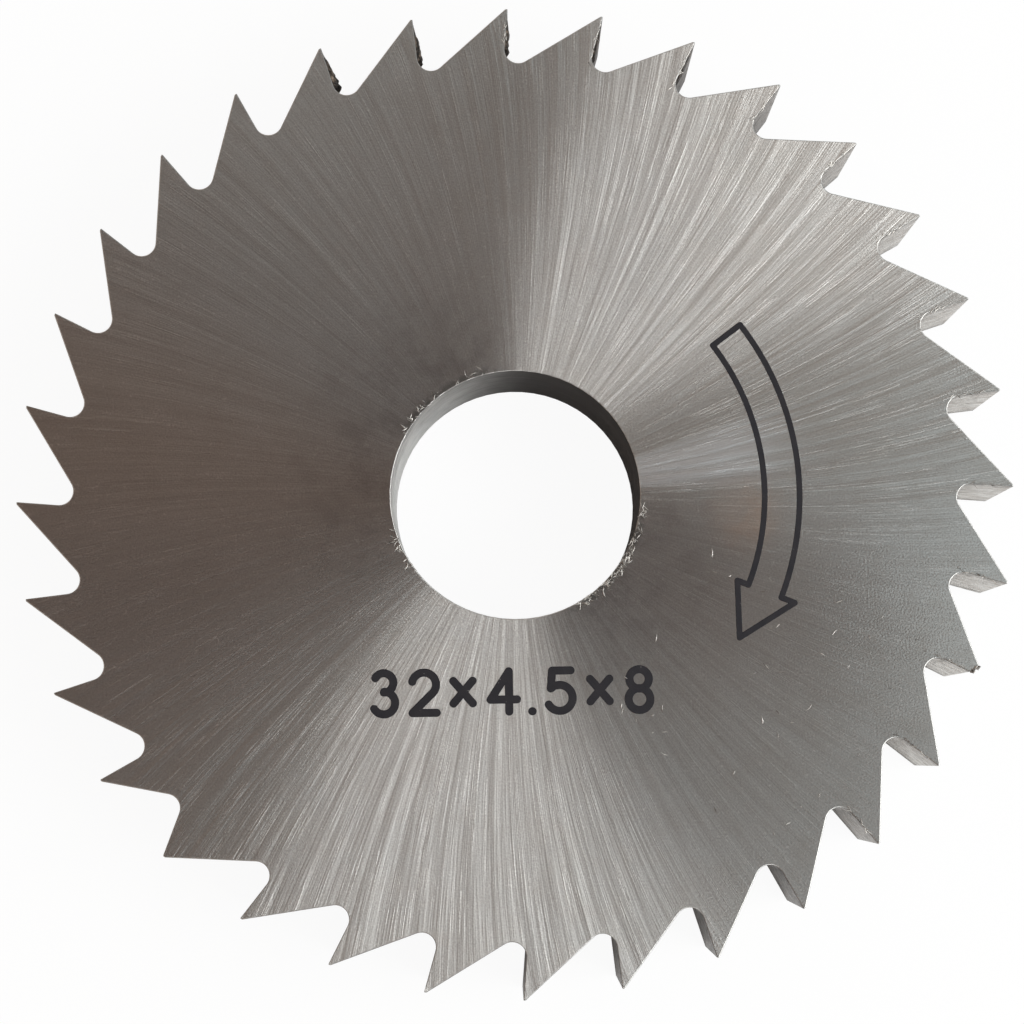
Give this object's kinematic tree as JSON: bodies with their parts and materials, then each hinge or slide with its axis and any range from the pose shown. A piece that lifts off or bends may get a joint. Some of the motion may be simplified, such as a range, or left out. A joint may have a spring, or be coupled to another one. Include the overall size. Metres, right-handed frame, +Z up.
{
  "type": "slitting saw",
  "caption": "Slitting saw: a flat disc of ground steel with a plain arbor bore, and pointed straight-cut teeth with rounded gullets round its rim.",
  "frame": {"origin": "on the bore's axis, at the lower side that the blade lies on", "axes": "+Z up along the bore's axis, towards the marked side, from which the blade cuts turning clockwise; +X through the tip of a tooth"},
  "size_m": [0.032, 0.032, 0.0045],
  "materials": {
    "ground_steel": "ground"
  },
  "bodies": {
    "root": {"saw_blade": "ground_steel"}
  },
  "joints": []
}
